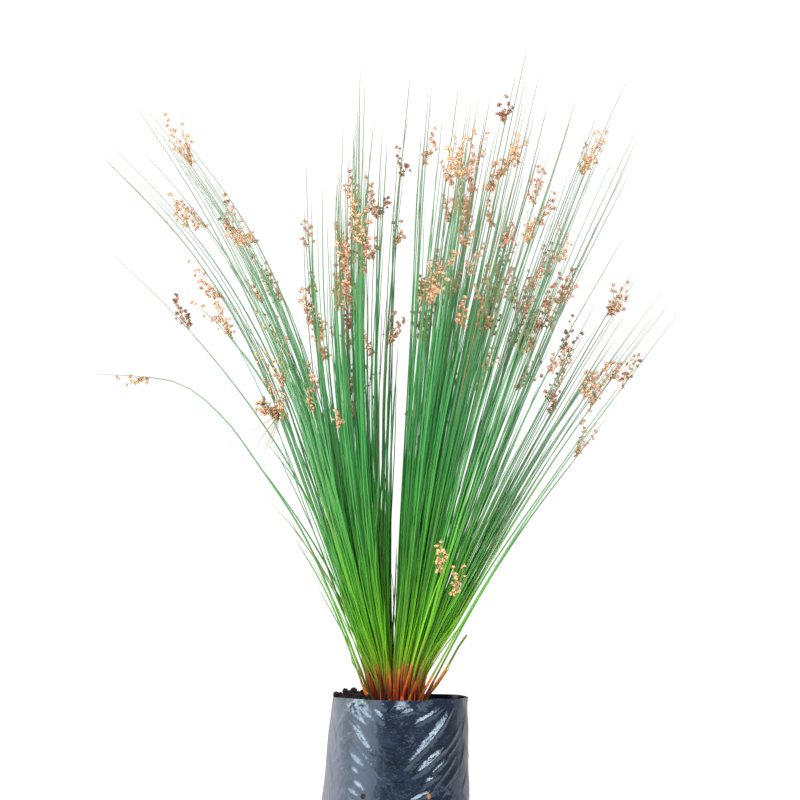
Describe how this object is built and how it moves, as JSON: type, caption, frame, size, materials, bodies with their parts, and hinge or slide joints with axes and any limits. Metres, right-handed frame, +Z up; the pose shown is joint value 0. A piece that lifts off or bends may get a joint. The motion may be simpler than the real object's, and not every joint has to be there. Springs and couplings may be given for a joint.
{
  "type": "potted rush",
  "caption": "Tussock of slender upright rush culms with lateral flower heads, growing in a filled black film grow bag.",
  "frame": {"origin": "centre of the grow bag's flat foot, on the surface it stands on", "axes": "+Z up along the culms, +X to the plant's right seen from its front, and the front faces -Y"},
  "size_m": [0.6382, 0.5394, 0.9139],
  "materials": {
    "culm": "smooth green stem, waxy and faintly ribbed, red-brown sheaths at the foot, tan flower heads",
    "film": "glossy wrinkled black polythene film",
    "soil": "matt dark crumbly potting mix"
  },
  "bodies": {
    "root": {"culm_arching_left": "culm", "culm_bent_left": "culm", "culm_broken_right": "culm", "culm_far_right": "culm", "culm_low_left": "culm", "culm_low_right": "culm", "culm_short_front": "culm", "culm_short_right": "culm", "culm_tall_centre": "culm", "culm_tall_left": "culm", "culm_tall_right": "culm", "grow_bag": "film", "soil": "soil", "soil_clods": "soil", "straw_left": "culm", "straw_right": "culm", "tuft_centre_left_1": "culm", "tuft_centre_left_10": "culm", "tuft_centre_left_2": "culm", "tuft_centre_left_3": "culm", "tuft_centre_left_4": "culm", "tuft_centre_left_5": "culm", "tuft_centre_left_6": "culm", "tuft_centre_left_7": "culm", "tuft_centre_left_8": "culm", "tuft_centre_left_9": "culm", "tuft_centre_right_1": "culm", "tuft_centre_right_10": "culm", "tuft_centre_right_11": "culm", "tuft_centre_right_12": "culm", "tuft_centre_right_13": "culm", "tuft_centre_right_14": "culm", "tuft_centre_right_2": "culm", "tuft_centre_right_3": "culm", "tuft_centre_right_4": "culm", "tuft_centre_right_5": "culm", "tuft_centre_right_6": "culm", "tuft_centre_right_7": "culm", "tuft_centre_right_8": "culm", "tuft_centre_right_9": "culm", "tuft_far_right_1": "culm", "tuft_far_right_2": "culm", "tuft_far_right_3": "culm", "tuft_left_1": "culm", "tuft_left_2": "culm", "tuft_left_3": "culm", "tuft_left_4": "culm", "tuft_left_5": "culm", "tuft_left_6": "culm", "tuft_low_left_1": "culm", "tuft_low_left_2": "culm", "tuft_low_left_3": "culm", "tuft_low_left_4": "culm", "tuft_right_1": "culm", "tuft_right_2": "culm", "tuft_right_3": "culm", "tuft_right_4": "culm", "tuft_right_5": "culm", "tuft_right_6": "culm", "tuft_right_7": "culm"}
  },
  "joints": []
}
